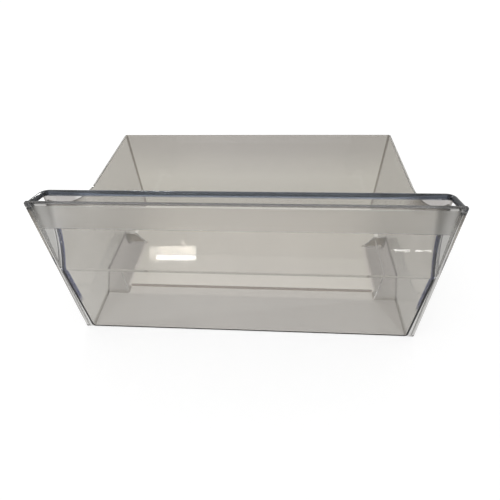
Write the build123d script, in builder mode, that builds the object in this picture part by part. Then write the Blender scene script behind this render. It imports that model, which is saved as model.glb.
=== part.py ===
# Clear fridge drawer: a moulded tray and a tall front panel with a finger channel behind its top half.
# Millimetres, +Z up, the front faces -Y, the origin is at the middle of the footprint.
import os
from math import hypot, radians, sqrt, tan

from build123d import *

os.makedirs("parts", exist_ok=True)

# Overall sizes
overall_depth = 280.0        # face of the panel to the rear rim of the tray
panel_width = 430.0
panel_height = 204.0
panel_thickness = 3.0
side_overlap = 8.0           # panel beyond the foot of the tray, each side
side_height = 138.0          # rim of the sides and the back
wall = 2.5                   # tray walls and floor
fit_gap = 0.3                # tray edge to the curved wall of the panel

# Drafts and rounds of the tray
side_draft = 2.1             # degrees, the sides open out upwards
back_draft = 1.7             # degrees
corner_radius = 4.0          # upright rear corners, outside
foot_radius = 4.0            # foot of the walls, outside
rim_round = 0.8              # softened rims

# Front edge of the sides and the horns that rise behind the panel
fold_drop = 98.0             # top of the panel to where the sides leave the plate
channel_back = 33.0          # face of the panel to the front edge of a horn
horn_drop = 21.0             # top of the panel to the tip of a horn
horn_straight = 2.0          # upright end of the curved front edge
horn_top = 3.0               # level tip of a horn
sweep_ratio = 2.3            # run over rise of the curve from the rim to a horn

# Floor: a low strip at the front, a shallow step, and a raised pad beside each side wall
step_front = 74.0            # face of the panel to the step
step_height = 3.0
pad_width = 34.0             # foot of a pad in from the foot of the tray
hollow_border = 10.0         # solid floor left round the hollow under the step
step_round = 1.5             # top edge of the step
pad_front = 60.0             # face of the panel to the foot of a pad
pad_rear = 170.5
pad_height = 25.5            # top face above the foot of the tray
pad_run = 15.0               # how far the inner face leans, foot to top
pad_front_run = 26.0
pad_rear_run = 0.5
pad_round = 1.5

# Finger channel and side returns of the panel
channel_wall = 2.5
channel_inset = 1.6          # side of the panel to the end of the channel wall
rim_radius = 3.0             # thick rim round the back and the ends of the channel
rim_drop = 10.5              # top of the panel to the middle of the rim
rim_depth = 33.0             # face of the panel to the middle of the rim
rim_corner = 7.0             # bend of the rim towards the plate, at its middle
arm_drop = 4.0               # top of the panel to the middle of the rim at the plate
return_thickness = 3.0
return_foot = 6.0            # behind the face, up to the fold
return_depth = 12.0          # behind the face, at the top
return_drop = 8.0            # top of the panel to the top of a return
panel_round = 1.5            # edges of the face
panel_corner = 2.5           # four corners of the panel

# Frosted band on the face of the plate
band_inset = 7.0             # side of the panel to the end of the band
band_drop = 4.0              # top of the panel to the band
band_height = 29.0
band_sink = 0.3

# Worked out from the sizes above
front = -overall_depth / 2
floor_width = panel_width - 2 * side_overlap
pad_foot = floor_width / 2 - pad_width
fold_height = panel_height - fold_drop
horn_height = panel_height - horn_drop
rim_height = panel_height - rim_drop
channel_half_width = panel_width / 2 - channel_inset
sweep_start = channel_back + horn_top + sweep_ratio * (horn_height - side_height)
edge_reach = channel_back - panel_thickness
edge_level = horn_height - horn_straight
edge_rise = edge_level - fold_height
edge_radius = (edge_reach**2 + edge_rise**2) / (2 * edge_reach)
edge_centre = channel_back - edge_radius
side_slope = tan(radians(side_draft))
back_slope = tan(radians(back_draft))
overrun = 20.0               # working stock past the outside of the tray


def tray_outline(height, inset):
    # rounded plan of the tray at a height, moved in by inset
    width = floor_width + 2 * height * side_slope - 2 * inset
    rear = front + overall_depth - (side_height - height) * back_slope - inset
    nose = front - overrun
    with Locations((0, (rear + nose) / 2)):
        RectangleRounded(width, rear - nose, corner_radius - inset)


def pad_outline(height, skin, outer_inset):
    # plan of the right-hand pad at a height, its three leaning faces moved in square to them by skin
    rise = pad_height - wall
    lean = (height - wall) / rise
    inner = pad_foot + lean * pad_run + skin * hypot(1, pad_run / rise)
    outer = floor_width / 2 + height * side_slope - outer_inset
    nose = front + pad_front + lean * pad_front_run + skin * hypot(1, pad_front_run / rise)
    rear = front + pad_rear - lean * pad_rear_run - skin * hypot(1, pad_rear_run / rise)
    with Locations(((inner + outer) / 2, (nose + rear) / 2)):
        Rectangle(outer - inner, rear - nose)


def edge_height(radius, depth):
    # height at which an arc about the channel's centre crosses a depth behind the face
    return edge_level - sqrt(radius**2 - (depth - edge_centre) ** 2)


# Outside of the tray
with BuildPart() as envelope:
    for level in (0, horn_height):
        with BuildSketch(Plane.XY.offset(level)):
            tray_outline(level, 0)
    loft()
    fillet(envelope.edges().group_by(Axis.Z)[0], foot_radius)

# Inside of the tray
with BuildPart() as cavity:
    for level in (wall, horn_height + wall):
        with BuildSketch(Plane.XY.offset(level)):
            tray_outline(level, wall)
    loft()
    fillet(cavity.edges().group_by(Axis.Z)[0], foot_radius - wall)

# Raised pads beside the side walls, and the hollows under them, open to the side
with BuildPart() as pads:
    for level in (wall, pad_height):
        with BuildSketch(Plane.XY.offset(level)):
            pad_outline(level, 0, wall / 2)
    loft()
    top_edges = pads.faces().sort_by(Axis.Z)[-1].edges().sort_by(Axis.X)[:-1]
    leaning_edges = pads.edges().filter_by(lambda edge: abs(edge.tangent_at(0.5).Z) > 0.1)
    fillet(top_edges + leaning_edges.sort_by(Axis.X)[:2], pad_round)
    mirror(about=Plane.YZ)

with BuildPart() as pad_hollows:
    for level in (0, pad_height - wall):
        with BuildSketch(Plane.XY.offset(level)):
            pad_outline(level, wall, -overrun)
    loft()
    mirror(about=Plane.YZ)

# Shallow step of the floor, run into the feet of the back wall and the sides
step_rear = front + overall_depth - side_height * back_slope - wall / 2
with BuildPart() as step:
    with BuildSketch(Plane.XY.offset(wall)):
        with Locations((0, (front + step_front + step_rear) / 2)):
            Rectangle(floor_width - wall, step_rear - front - step_front)
    extrude(amount=step_height)
    fillet(step.faces().sort_by(Axis.Z)[-1].edges().sort_by(Axis.Y)[0], step_round)

# Tray: shell, stepped floor, pads, then trimmed to its side view
with BuildPart() as body:
    add(envelope.part)
    add(cavity.part, mode=Mode.SUBTRACT)
    add(step.part)
    add(pads.part)
    hollow_front = front + step_front + wall
    hollow_rear = step_rear - hollow_border
    with BuildSketch(Plane.XY):
        with Locations((0, (hollow_front + hollow_rear) / 2)):
            Rectangle(floor_width - 2 * hollow_border, hollow_rear - hollow_front)
    extrude(amount=step_height, mode=Mode.SUBTRACT)
    add(pad_hollows.part, mode=Mode.SUBTRACT)
    with BuildSketch(Plane.YZ):
        with BuildLine():
            foot = (front + panel_thickness, 0)
            fold = (front + panel_thickness, fold_height)
            horn_front = (front + channel_back, edge_level)
            horn_tip = (front + channel_back, horn_height)
            sweep_end = (front + channel_back + horn_top, horn_height)
            sweep_foot = (front + sweep_start, side_height)
            rear_rim = (front + overall_depth, side_height)
            rear_foot = (front + overall_depth, 0)
            Polyline(foot, fold)
            TangentArc(horn_front, fold, tangent=(0, -1))
            Polyline(horn_front, horn_tip, sweep_end)
            TangentArc(sweep_foot, sweep_end, tangent=(-1, 0))
            Polyline(sweep_foot, rear_rim, rear_foot, foot)
        make_face()
    extrude(amount=panel_width, both=True, mode=Mode.INTERSECT)
    rims = body.faces().filter_by_position(Axis.Z, fold_height, horn_height + wall)
    lengthways = rims.edges().filter_by(lambda edge: edge.bounding_box().size.X < wall / 2)
    crossways = rims.edges().filter_by(lambda edge: edge.bounding_box().size.X > 2 * wall)
    fillet(lengthways + crossways, rim_round)
body.part.label = "drawer_body"
export_step(body.part, "parts/drawer_body.step")

# Front panel: plate, side returns, curved channel wall and the rim round the channel
with BuildPart() as panel:
    with BuildSketch(Plane.XZ.offset(-front)):
        with Locations((0, panel_height / 2)):
            Rectangle(panel_width, panel_height)
    extrude(amount=-panel_thickness)
    with BuildSketch(Plane.YZ.offset(panel_width / 2 - return_thickness)):
        with BuildLine():
            Polyline(
                (front, 0),
                (front + return_foot, 0),
                (front + return_foot, fold_height),
                (front + return_depth, panel_height - return_drop),
                (front + panel_thickness, panel_height - return_drop),
                (front + panel_thickness, panel_height),
                (front, panel_height),
                (front, 0),
            )
        make_face()
    extrude(amount=return_thickness)
    mirror(about=Plane.YZ)
    for end in (0, -1):
        corner_edges = panel.edges().filter_by(Axis.Y).group_by(Axis.Z)[end].sort_by(Axis.X)
        fillet([corner_edges[0], corner_edges[-1]], panel_corner)
    fillet(panel.faces().sort_by(Axis.Y)[0].outer_wire().edges(), panel_round)
    outer_radius = edge_radius - fit_gap
    inner_radius = outer_radius - channel_wall
    root_depth = panel_thickness / 2
    with BuildSketch(Plane.YZ):
        with BuildLine():
            outer_top = (front + edge_centre + outer_radius, edge_level)
            inner_top = (front + edge_centre + inner_radius, edge_level)
            outer_root = (front + root_depth, edge_height(outer_radius, root_depth))
            inner_root = (front + root_depth, edge_height(inner_radius, root_depth))
            TangentArc(outer_top, outer_root, tangent=(0, -1))
            TangentArc(inner_top, inner_root, tangent=(0, -1))
            Polyline(outer_root, inner_root)
            Polyline(outer_top, (outer_top[0], rim_height), (inner_top[0], rim_height), inner_top)
        make_face()
    extrude(amount=channel_half_width, both=True)
    arm_run = rim_depth - panel_thickness / 2
    arm_rise = panel_height - arm_drop - rim_height
    rim_plane = Plane((0, front + rim_depth, rim_height), x_dir=(1, 0, 0), z_dir=(0, -arm_rise, -arm_run))
    with BuildLine(rim_plane) as rim_path:
        rim_half = panel_width / 2 - rim_radius
        arm_length = sqrt(arm_run**2 + arm_rise**2)
        FilletPolyline(
            (-rim_half, arm_length),
            (-rim_half, 0),
            (rim_half, 0),
            (rim_half, arm_length),
            radius=rim_corner,
        )
    with BuildSketch(Plane(rim_path.line @ 0, z_dir=rim_path.line % 0)):
        Circle(rim_radius)
    sweep()
    with BuildSketch(Plane.XZ.offset(-front)):
        with Locations((0, panel_height - band_drop - band_height / 2)):
            Rectangle(panel_width - 2 * band_inset, band_height)
    extrude(amount=-band_sink, mode=Mode.SUBTRACT)
panel.part.label = "front_panel"
export_step(panel.part, "parts/front_panel.step")
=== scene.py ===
from math import cos, pi, radians, sin, tan

import bmesh
import bpy
from mathutils import Matrix, Vector

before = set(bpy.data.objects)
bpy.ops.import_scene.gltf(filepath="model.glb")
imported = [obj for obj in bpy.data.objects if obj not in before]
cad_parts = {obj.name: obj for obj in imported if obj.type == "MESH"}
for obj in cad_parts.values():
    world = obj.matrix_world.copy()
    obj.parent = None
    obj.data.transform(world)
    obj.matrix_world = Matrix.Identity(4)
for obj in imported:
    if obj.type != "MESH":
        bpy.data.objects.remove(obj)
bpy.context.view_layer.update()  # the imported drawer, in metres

scene = bpy.context.scene
print("frame loaded:", sorted(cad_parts))


def addNode(tree, kind, **values):
    node = tree.nodes.new(kind)
    for name, value in values.items():
        setattr(node, name, value)
    return node


def plug(tree, socket, value):  # links another socket, or sets a plain value
    if isinstance(value, bpy.types.NodeSocket):
        tree.links.new(value, socket)
    else:
        socket.default_value = value


def feed(tree, target, **values):  # by the input's name, with _ for a space
    for name, value in values.items():
        plug(tree, target.inputs[name.replace("_", " ")], value)


def mathStep(tree, operation, first, second=0.0):
    node = addNode(tree, "ShaderNodeMath", operation=operation)
    plug(tree, node.inputs[0], first)
    plug(tree, node.inputs[1], second)
    return node.outputs[0]


def remap(tree, value, low, high, toLow=0.0, toHigh=1.0):
    node = addNode(tree, "ShaderNodeMapRange")
    feed(tree, node, Value=value, From_Min=low, From_Max=high, To_Min=toLow, To_Max=toHigh)
    return node.outputs["Result"]


def noiseLevel(tree, place, settings):
    noise = addNode(tree, "ShaderNodeTexNoise")
    feed(tree, noise, Vector=place, **settings)
    return noise.outputs["Fac"]


# Shared surface of the clear mouldings: clouded tint, smudges, fine scratches, slow waves, mould grain
surfaceLook = {
    "cloud": {"Scale": 7.0, "Detail": 3.0},
    "cloudSpan": (0.35, 0.65),  # levels of the noise at which a cloud starts and is full
    "smudge": {"Scale": 24.0, "Detail": 5.0, "Distortion": 0.6},
    "smudgeSpan": (0.5, 0.75),
    "scratch": {"Scale": 1.0, "Detail": 1.0},
    "scratchSpan": (0.66, 0.74),
    "scratchStretch": (900.0, 60.0, 240.0),
    "wave": {"Scale": 16.0, "Detail": 1.0},
    "grain": {"Scale": 1100.0, "Detail": 2.0},
}


def makeSurfaceGroup(look):
    group = bpy.data.node_groups.new("clearMouldingSurface", "ShaderNodeTree")
    sockets = group.interface
    sockets.new_socket("Tint", in_out="INPUT", socket_type="NodeSocketColor")
    for name in ("Cloud", "Gloss", "Smudge", "Scratch"):
        sockets.new_socket(name, in_out="INPUT", socket_type="NodeSocketFloat")
    sockets.new_socket("Colour", in_out="OUTPUT", socket_type="NodeSocketColor")
    for name in ("Roughness", "Wave", "Grain"):
        sockets.new_socket(name, in_out="OUTPUT", socket_type="NodeSocketFloat")
    given = addNode(group, "NodeGroupInput").outputs
    result = addNode(group, "NodeGroupOutput")
    place = addNode(group, "ShaderNodeTexCoord").outputs["Object"]

    cloud = remap(group, noiseLevel(group, place, look["cloud"]), *look["cloudSpan"])
    dim = mathStep(group, "SUBTRACT", 1.0, mathStep(group, "MULTIPLY", cloud, given["Cloud"]))
    tinted = addNode(group, "ShaderNodeVectorMath", operation="SCALE")
    feed(group, tinted, Vector=given["Tint"], Scale=dim)

    smudge = remap(group, noiseLevel(group, place, look["smudge"]), *look["smudgeSpan"])
    smeared = mathStep(group, "MULTIPLY", smudge, given["Smudge"])
    stretch = addNode(group, "ShaderNodeMapping")
    feed(group, stretch, Vector=place, Scale=look["scratchStretch"])
    hairline = noiseLevel(group, stretch.outputs["Vector"], look["scratch"])
    scratch = remap(group, hairline, *look["scratchSpan"])
    scored = mathStep(group, "MULTIPLY", scratch, given["Scratch"])
    dull = mathStep(group, "ADD", given["Gloss"], mathStep(group, "ADD", smeared, scored))

    feed(group, result, Colour=tinted.outputs["Vector"], Roughness=dull)
    feed(group, result, Wave=noiseLevel(group, place, look["wave"]))
    feed(group, result, Grain=noiseLevel(group, place, look["grain"]))
    return group


surfaceGroup = makeSurfaceGroup(surfaceLook)
print("surface group ready")


def placeAxes(tree):  # side is measured from the middle, so left and right are alike
    split = addNode(tree, "ShaderNodeSeparateXYZ")
    feed(tree, split, Vector=addNode(tree, "ShaderNodeTexCoord").outputs["Object"])
    side = mathStep(tree, "ABSOLUTE", split.outputs["X"])
    return {"side": side, "y": split.outputs["Y"], "z": split.outputs["Z"]}


def zoneMask(tree, axes, limits):  # each limit: an axis, where the zone has faded out, where it is full
    mask = None
    for axis, gone, full in limits:
        part = remap(tree, axes[axis], gone, full)
        mask = part if mask is None else mathStep(tree, "MULTIPLY", mask, part)
    return mask


def makeClear(name, look, moreAxes):
    material = bpy.data.materials.new(name)
    material.use_nodes = True
    tree = material.node_tree
    tree.nodes.clear()
    surface = addNode(tree, "ShaderNodeGroup", node_tree=surfaceGroup)
    feed(tree, surface, Tint=look["tint"], Cloud=look["cloud"], Gloss=look["gloss"])
    feed(tree, surface, Smudge=look["smudge"], Scratch=look["scratch"])
    axes = placeAxes(tree)
    moreAxes(tree, axes)
    colour = surface.outputs["Colour"]
    dull = surface.outputs["Roughness"]
    height = surface.outputs["Wave"]
    # each zone multiplies the colour by its gain; most of the gains below are painted shade and painted
    # light
    for zone in look["zones"]:
        mask = zoneMask(tree, axes, zone["limits"])
        blend = addNode(tree, "ShaderNodeMixRGB", blend_type="MULTIPLY")
        feed(tree, blend, Fac=mask, Color1=colour, Color2=zone["gain"] + (1.0,))
        colour = blend.outputs["Color"]
        if "frost" in zone:
            dull = mathStep(tree, "ADD", dull, mathStep(tree, "MULTIPLY", mask, zone["frost"]))
        if "grain" in zone:
            grain = mathStep(tree, "MULTIPLY", surface.outputs["Grain"], zone["grain"])
            height = mathStep(tree, "ADD", height, mathStep(tree, "MULTIPLY", mask, grain))
    ripple = addNode(tree, "ShaderNodeBump")
    feed(tree, ripple, Strength=look["waveStrength"], Distance=look["waveDepth"], Height=height)
    shader = addNode(tree, "ShaderNodeBsdfPrincipled")
    feed(tree, shader, Base_Color=colour, Roughness=dull, Normal=ripple.outputs["Normal"])
    feed(tree, shader, IOR=look["ior"], Transmission_Weight=1.0, Specular_Tint=look["sheen"])
    output = addNode(tree, "ShaderNodeOutputMaterial")
    feed(tree, output, Surface=shader.outputs["BSDF"])
    return material


# Tray
trayForm = {
    "innerFoot": 0.2045,  # inside of a side wall at the foot
    "sideSlope": tan(radians(2.1)),
    "innerRear": 0.1375,  # inside of the back wall at the rim
    "rimHeight": 0.138,
    "backSlope": tan(radians(1.7)),
    "plateRear": -0.137,  # where the front edges of the sides meet the panel
    "edgeLevel": 0.181,  # top of the curved front edges
    "edgeRadius": 0.10875,
    "edgeCentre": -0.21575,
    "padLevel": 0.0025,  # foot of a pad, on the floor
    "padFront": -0.08,  # front face at that level
    "padLean": 26 / 23,  # how far the front face leans back per rise
    "padSide": 0.173,  # inner face at that level
    "padFlare": 15 / 23,  # how far the inner face leans out per rise
}
trayLook = {
    "tint": (0.452, 0.434, 0.403, 1.0),
    "cloud": 0.03,
    "gloss": 0.015,
    "smudge": 0.03,
    "scratch": 0.05,
    "waveStrength": 0.15,
    "waveDepth": 0.0004,
    "ior": 1.57,
    "sheen": (0.6, 0.6, 0.6, 1.0),  # tint of the reflections
    "zones": (
        {  # painted shade: a little darker towards the sides
            "limits": (("side", 0.05, 0.2),),
            "gain": (0.955, 0.955, 0.94),
        },
        {  # back wall, painted shade: darker towards its rim
            "limits": (("backIn", -0.004, -0.001), ("z", 0.065, 0.138)),
            "gain": (0.84, 0.83, 0.83),
        },
        {  # back wall, painted light: paler low down
            "limits": (("backIn", -0.004, -0.001), ("z", 0.11, 0.06)),
            "gain": (1.12, 1.12, 1.1),
        },
        {  # raised floor, painted light: paler
            "limits": (
                ("z", 0.0075, 0.006),
                ("y", -0.068, -0.066),
                ("sideIn", 0.0, -0.001),
                ("backIn", -0.002, -0.003),
            ),
            "gain": (1.68, 1.67, 1.66),
        },
        {  # sides, painted light: paler towards the panel
            "limits": (("sideIn", -0.002, -0.001), ("y", 0.01, -0.06)),
            "gain": (1.19, 1.2, 1.22),
        },
        {  # low strip of the floor at the front, painted shade: darker
            "limits": (("z", 0.0045, 0.0035), ("y", -0.066, -0.0675), ("sideIn", 0.0, -0.001)),
            "gain": (0.8, 0.77, 0.745),
        },
        {  # pads, painted shade: a little darker
            "limits": (
                ("side", 0.172, 0.175),
                ("sideIn", 0.0, -0.001),
                ("z", 0.0275, 0.0262),
                ("y", -0.082, -0.05),
                ("y", 0.0275, 0.0262),
            ),
            "gain": (0.96, 0.94, 0.96),
        },
        {  # thin rear of a pad, painted light: much paler
            "limits": (
                ("y", 0.0264, 0.0272),
                ("y", 0.0316, 0.031),
                ("z", 0.0228, 0.022),
                ("padInner", 0.003, 0.004),
                ("sideIn", 0.0, -0.001),
            ),
            "gain": (1.7, 1.7, 1.7),
        },
        {  # rear edge of a pad, painted shade: a dark line
            "limits": (
                ("y", 0.0275, 0.0285),
                ("y", 0.0316, 0.031),
                ("z", 0.0238, 0.0246),
                ("z", 0.0275, 0.0268),
                ("side", 0.185, 0.187),
            ),
            "gain": (0.5, 0.48, 0.47),
        },
        {  # leaning rear edge of a pad, painted shade: a dark line
            "limits": (
                ("y", 0.0272, 0.0282),
                ("y", 0.0316, 0.031),
                ("z", 0.0275, 0.0268),
                ("padInner", -0.002, -0.001),
                ("padInner", 0.004, 0.003),
            ),
            "gain": (0.6, 0.58, 0.57),
        },
        {  # painted shade: dark line in the crease where the top of a pad meets the side
            "limits": (
                ("sideIn", -0.0024, -0.0014),
                ("sideIn", 0.0008, 0.0004),
                ("z", 0.0235, 0.0245),
                ("z", 0.0285, 0.0275),
                ("y", -0.057, -0.054),
                ("y", 0.031, 0.029),
            ),
            "gain": (0.3, 0.28, 0.27),
        },
        {  # painted shade: dark line in the crease where the front of a pad meets the side
            "limits": (
                ("padNose", -0.0025, -0.0015),
                ("padNose", 0.003, 0.002),
                ("sideIn", -0.0024, -0.0014),
                ("sideIn", 0.0008, 0.0004),
                ("z", 0.0275, 0.0262),
            ),
            "gain": (0.35, 0.33, 0.32),
        },
        {  # riser of the step, painted shade: a dark line
            "limits": (
                ("y", -0.0667, -0.0664),
                ("y", -0.064, -0.0645),
                ("z", 0.007, 0.006),
                ("side", 0.174, 0.173),
            ),
            "gain": (0.18, 0.15, 0.13),
        },
        {  # upright rear corners, painted shade: darker
            "limits": (("sideIn", -0.0024, -0.0014), ("backIn", -0.0024, -0.0014)),
            "gain": (0.5, 0.48, 0.46),
        },
        {  # foot of the sides, in front of the pads, painted shade: darker
            "limits": (("sideIn", -0.0022, -0.0014), ("z", 0.0055, 0.0045), ("y", -0.07, -0.08)),
            "gain": (0.55, 0.53, 0.5),
        },
        {  # blue edge colour of the plastic on the sides behind the panel, deepened by painted shade
            "limits": (
                ("edgeIn", 0.0065, 0.0055),
                ("sideIn", -0.0012, -0.0006),
                ("z", 0.045, 0.058),
                ("z", 0.156, 0.147),
            ),
            "gain": (0.03, 0.045, 0.2),
        },
        {  # matt front end of the floor, with painted light: paler
            "limits": (("y", -0.1362, -0.1367), ("z", 0.0045, 0.0035)),
            "gain": (1.5, 1.5, 1.5),
            "frost": 0.6,
        },
        {  # matt front edges of the sides, low down, with painted light: paler
            "limits": (("edgeIn", 0.001, 0.0005), ("z", 0.058, 0.045)),
            "gain": (1.4, 1.4, 1.4),
            "frost": 0.5,
        },
        {  # scuffed underside, matt, with painted light: paler
            "limits": (("z", 0.0008, 0.0004),),
            "gain": (1.2, 1.2, 1.2),
            "frost": 0.5,
        },
        {  # matt rims of the sides and the back, with painted light: paler
            "limits": (("z", 0.1364, 0.137), ("y", -0.01, 0.0)),
            "gain": (1.4, 1.4, 1.4),
            "frost": 0.5,
        },
    ),
}


def trayAxes(tree, axes):  # distances from the walls, the curved front edges and the faces of a pad
    form = trayForm
    lean = mathStep(tree, "MULTIPLY", axes["z"], form["sideSlope"])
    sideInner = mathStep(tree, "ADD", lean, form["innerFoot"])
    axes["sideIn"] = mathStep(tree, "SUBTRACT", axes["side"], sideInner)

    belowRim = mathStep(tree, "SUBTRACT", axes["z"], form["rimHeight"])
    drop = mathStep(tree, "MULTIPLY", belowRim, form["backSlope"])
    backInner = mathStep(tree, "ADD", drop, form["innerRear"])
    axes["backIn"] = mathStep(tree, "SUBTRACT", axes["y"], backInner)

    rise = mathStep(tree, "SUBTRACT", axes["z"], form["edgeLevel"])
    spare = mathStep(tree, "SUBTRACT", form["edgeRadius"] ** 2, mathStep(tree, "MULTIPLY", rise, rise))
    reach = mathStep(tree, "SQRT", mathStep(tree, "MAXIMUM", spare, 0.0))
    curve = mathStep(tree, "ADD", reach, form["edgeCentre"])
    edge = mathStep(tree, "MAXIMUM", curve, form["plateRear"])
    axes["edgeIn"] = mathStep(tree, "SUBTRACT", axes["y"], edge)

    padRise = mathStep(tree, "SUBTRACT", axes["z"], form["padLevel"])
    climb = mathStep(tree, "MULTIPLY", padRise, form["padLean"])
    behindFoot = mathStep(tree, "SUBTRACT", axes["y"], form["padFront"])
    axes["padNose"] = mathStep(tree, "SUBTRACT", behindFoot, climb)
    spread = mathStep(tree, "MULTIPLY", padRise, form["padFlare"])
    besideFoot = mathStep(tree, "SUBTRACT", axes["side"], form["padSide"])
    axes["padInner"] = mathStep(tree, "SUBTRACT", besideFoot, spread)


trayMaterial = makeClear("clearTrayPlastic", trayLook, trayAxes)

# Front panel
panelForm = {
    "tightEnd": 0.2105,  # where its ends stand clear of the tray
    "foldHeight": 0.108,
    "flare": 0.22,  # how far that line leans in per rise above the fold
}
panelLook = dict(
    trayLook,
    tint=(0.89, 0.885, 0.875, 1.0),
    sheen=(0.5, 0.5, 0.5, 1.0),
    zones=(
        {  # ends of the panel beyond the tray, painted shade: darker, for the darker room seen through them
            "limits": (("endOut", -0.006, 0.0), ("y", -0.136, -0.1368)),
            "gain": (0.57, 0.565, 0.55),
        },
        {  # the same painted shade, darker again towards the top
            "limits": (("endOut", -0.006, 0.0), ("y", -0.136, -0.1368), ("z", 0.03, 0.1)),
            "gain": (0.83, 0.83, 0.83),
        },
        {  # outermost ends of the channel wall, high up, painted shade: darker
            "limits": (("y", -0.1355, -0.1345), ("z", 0.175, 0.18), ("side", 0.165, 0.18)),
            "gain": (0.52, 0.5, 0.49),
        },
        {  # frosted band on the face
            "limits": (
                ("y", -0.1385, -0.139),
                ("z", 0.1708, 0.1712),
                ("z", 0.2003, 0.1998),
                ("side", 0.2083, 0.2078),
            ),
            "gain": (1.03, 1.02, 1.01),
            "frost": 0.42,
            "grain": 0.25,
        },
        {  # the band, painted shade: darker towards its ends
            "limits": (
                ("y", -0.1385, -0.139),
                ("z", 0.1708, 0.1712),
                ("z", 0.2003, 0.1998),
                ("side", 0.12, 0.19),
            ),
            "gain": (0.86, 0.86, 0.85),
        },
        {  # rim round the channel: blue edge colour of the plastic, darkened by painted shade
            "limits": (("z", 0.1905, 0.1915), ("y", -0.1118, -0.1105)),
            "gain": (0.14, 0.165, 0.21),
        },
        {  # arms that carry the rim to the plate, painted shade: almost black
            "limits": (("z", 0.1905, 0.1915), ("y", -0.1366, -0.136), ("side", 0.2075, 0.2085)),
            "gain": (0.05, 0.056, 0.068),
        },
        {  # top edge of the plate, painted shade: a dark line
            "limits": (("z", 0.2018, 0.2026), ("y", -0.1365, -0.137)),
            "gain": (0.18, 0.18, 0.19),
        },
        {  # root of the channel wall, painted shade: a dark line in the crease
            "limits": (
                ("y", -0.1372, -0.1369),
                ("y", -0.1345, -0.1352),
                ("z", 0.1055, 0.1062),
                ("z", 0.1085, 0.1078),
            ),
            "gain": (0.7, 0.7, 0.7),
        },
        {  # matt foot of the plate
            "limits": (("z", 0.0008, 0.0004),),
            "gain": (1.0, 1.0, 1.0),
            "frost": 0.5,
        },
        {  # inner edge of the side returns, painted shade: a dark line
            "limits": (("side", 0.2113, 0.2119), ("side", 0.2128, 0.2122)),
            "gain": (0.5, 0.5, 0.5),
        },
    ),
)


def panelAxes(tree, axes):  # distance past the line where the ends stand clear of the tray
    form = panelForm
    over = mathStep(tree, "SUBTRACT", axes["z"], form["foldHeight"])
    inward = mathStep(tree, "MULTIPLY", mathStep(tree, "MAXIMUM", over, 0.0), form["flare"])
    beyond = mathStep(tree, "SUBTRACT", axes["side"], form["tightEnd"])
    axes["endOut"] = mathStep(tree, "ADD", beyond, inward)


panelMaterial = makeClear("clearPanelPlastic", panelLook, panelAxes)
for node, material in (("drawer_body", trayMaterial), ("front_panel", panelMaterial)):
    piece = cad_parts[node]
    piece.material_slots[0].material = material
print("materials set")


def seenDirectly(tree):  # 1 for rays from the camera, reflections and rays through the plastic
    rays = addNode(tree, "ShaderNodeLightPath").outputs
    seen = mathStep(tree, "MAXIMUM", rays["Is Camera Ray"], rays["Is Glossy Ray"])
    return mathStep(tree, "MAXIMUM", seen, rays["Is Transmission Ray"])


# Stage: a pale floor that keeps a soft shadow
stageLook = {
    "radius": 6.0,
    "segments": 96,
    "albedo": (0.9, 0.9, 0.9, 1.0),
    "seenAlbedo": (0.42, 0.42, 0.42, 1.0),  # where it is seen, with the glow on top
    "glow": 0.7,
}


def makeFloor(look):
    mesh = bpy.data.meshes.new("paleFloor")
    form = bmesh.new()
    bmesh.ops.create_circle(form, cap_ends=True, segments=look["segments"], radius=look["radius"])
    form.to_mesh(mesh)
    form.free()
    floor = bpy.data.objects.new("paleFloor", mesh)
    scene.collection.objects.link(floor)
    material = bpy.data.materials.new("paleFloor")
    material.use_nodes = True
    tree = material.node_tree
    tree.nodes.clear()
    plain = addNode(tree, "ShaderNodeBsdfDiffuse")
    feed(tree, plain, Color=look["albedo"])
    dimmed = addNode(tree, "ShaderNodeBsdfDiffuse")
    feed(tree, dimmed, Color=look["seenAlbedo"])
    glow = addNode(tree, "ShaderNodeEmission")
    feed(tree, glow, Strength=look["glow"])
    bright = addNode(tree, "ShaderNodeAddShader")
    tree.links.new(dimmed.outputs[0], bright.inputs[0])
    tree.links.new(glow.outputs[0], bright.inputs[1])
    pick = addNode(tree, "ShaderNodeMixShader")
    tree.links.new(seenDirectly(tree), pick.inputs[0])
    tree.links.new(plain.outputs[0], pick.inputs[1])
    tree.links.new(bright.outputs[0], pick.inputs[2])
    output = addNode(tree, "ShaderNodeOutputMaterial")
    feed(tree, output, Surface=pick.outputs[0])
    mesh.materials.append(material)


makeFloor(stageLook)

# World: even white light, white where it is seen
worldLook = {"colour": (1.0, 1.0, 1.0, 1.0), "light": 0.8, "seen": 1.0}


def makeWorld(look):
    world = bpy.data.worlds.new("softRoom")
    world.use_nodes = True
    tree = world.node_tree
    tree.nodes.clear()
    strength = remap(tree, seenDirectly(tree), 0.0, 1.0, look["light"], look["seen"])
    back = addNode(tree, "ShaderNodeBackground")
    feed(tree, back, Color=look["colour"], Strength=strength)
    output = addNode(tree, "ShaderNodeOutputWorld")
    feed(tree, output, Surface=back.outputs[0])
    scene.world = world


makeWorld(worldLook)
print("stage and world ready")

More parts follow.
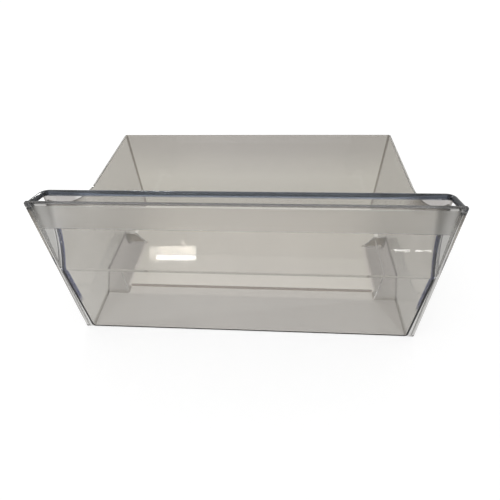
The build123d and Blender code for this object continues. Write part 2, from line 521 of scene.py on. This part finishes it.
# Soft lamps, which show as small glints in the floor and in the curved wall of the channel
lampLook = {
    "windowBehind": {
        "at": (-0.322, 0.529, 0.502),
        "aim": (-0.127, 0.003, 0.0055),
        "along": (0.982, 0.15, 0.112),
        "size": (0.16, 0.05),
        "level": 30.0,
    },
    "stripBehind": {
        "at": (-0.282, 0.562, 0.496),
        "aim": (-0.11, 0.0216, 0.0055),
        "along": (0.58, -0.66, 0.47),
        "size": (0.045, 0.005),
        "level": 24.0,
    },
    "panelLeft": {
        "at": (0.624, -1.525, 0.409),
        "aim": (0.174, -0.121, 0.1333),
        "along": (0.95, 0.2, 0.0),
        "size": (0.07, 0.06),
        "level": 24.0,
    },
    "panelRight": {
        "at": (0.714, -1.502, 0.405),
        "aim": (0.1965, -0.121, 0.1333),
        "along": (0.95, 0.22, 0.0),
        "size": (0.07, 0.05),
        "level": 28.0,
    },
}


def makeLamp(name, look):
    width, height = look["size"]
    data = bpy.data.lights.new(name, "AREA")
    data.shape = "RECTANGLE"
    data.size = width
    data.size_y = height
    data.energy = look["level"] * pi * width * height  # watts that give the lamp's face this level
    lamp = bpy.data.objects.new(name, data)
    back = (Vector(look["at"]) - Vector(look["aim"])).normalized()
    across = back.cross(Vector(look["along"])).normalized()
    along = across.cross(back)
    turn = Matrix((along, across, back)).transposed().to_4x4()
    lamp.matrix_world = Matrix.Translation(look["at"]) @ turn
    scene.collection.objects.link(lamp)


for name, look in lampLook.items():
    makeLamp(name, look)
print("lamps ready:", len(lampLook))

# Camera, from the perspective of the photograph
viewLook = {
    "at": (0.0378, -0.4407, 0.4243),
    "yaw": -5.27,  # degrees
    "pitch": 42.68,
    "roll": -2.44,
    "lens": 28.01,  # millimetres
    "sensor": 36.0,
    "nearest": 0.01,
}


def makeCamera(look):
    yaw, pitch, roll = (radians(look[name]) for name in ("yaw", "pitch", "roll"))
    ahead = Vector((sin(yaw) * cos(pitch), cos(yaw) * cos(pitch), -sin(pitch)))
    level = Vector((cos(yaw), -sin(yaw), 0.0))
    above = level.cross(ahead)
    right = cos(roll) * level + sin(roll) * above
    up = cos(roll) * above - sin(roll) * level
    data = bpy.data.cameras.new("photoCamera")
    data.sensor_fit = "HORIZONTAL"
    data.sensor_width = look["sensor"]
    data.lens = look["lens"]
    data.clip_start = look["nearest"]
    camera = bpy.data.objects.new("photoCamera", data)
    turn = Matrix((right, up, -ahead)).transposed().to_4x4()
    camera.matrix_world = Matrix.Translation(look["at"]) @ turn
    scene.collection.objects.link(camera)
    scene.camera = camera


makeCamera(viewLook)
print("camera set")

scene.view_settings.view_transform = "Standard"
bounceLimit = 48  # a ray passes many walls of clear plastic
scene.cycles.max_bounces = bounceLimit
scene.cycles.transmission_bounces = bounceLimit
scene.cycles.glossy_bounces = bounceLimit
print("scene ready")
